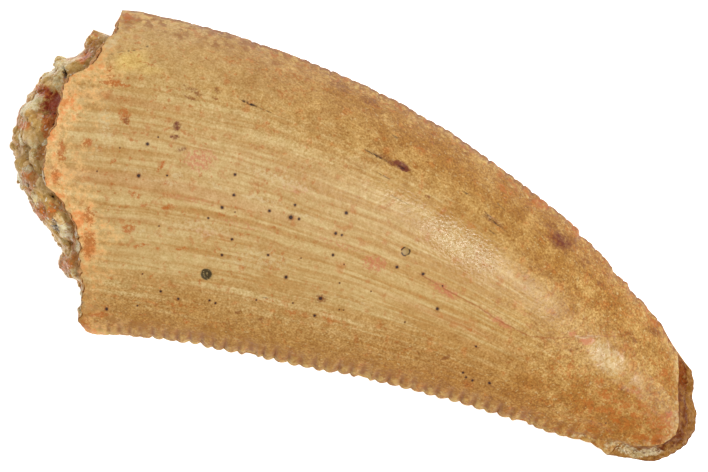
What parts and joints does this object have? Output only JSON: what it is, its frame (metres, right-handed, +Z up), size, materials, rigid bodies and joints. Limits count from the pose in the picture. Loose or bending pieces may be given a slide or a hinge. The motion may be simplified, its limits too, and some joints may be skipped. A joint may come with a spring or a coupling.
{
  "type": "fossil raptor tooth",
  "caption": "Curved blade-like fossil tooth with finely serrated edges, a worn tip, and a broken base whose hollow is filled with lumpy sandstone. It lies on its side.",
  "frame": {"origin": "centre of the bounding box in plan, on the surface that the tooth lies on", "axes": "+X from the broken base to the tip, +Y towards the arched mesial edge, +Z up from the resting side to the side that shows"},
  "size_m": [0.0225, 0.0102, 0.0041],
  "materials": {
    "enamel": "fossil enamel, tan with orange and brown stains, worn glossy along its ridge",
    "sandstone": "rough grainy sandstone, honey, cream and red-brown"
  },
  "bodies": {
    "root": {"tooth": "enamel", "sandstone_plug": "sandstone"}
  },
  "joints": []
}
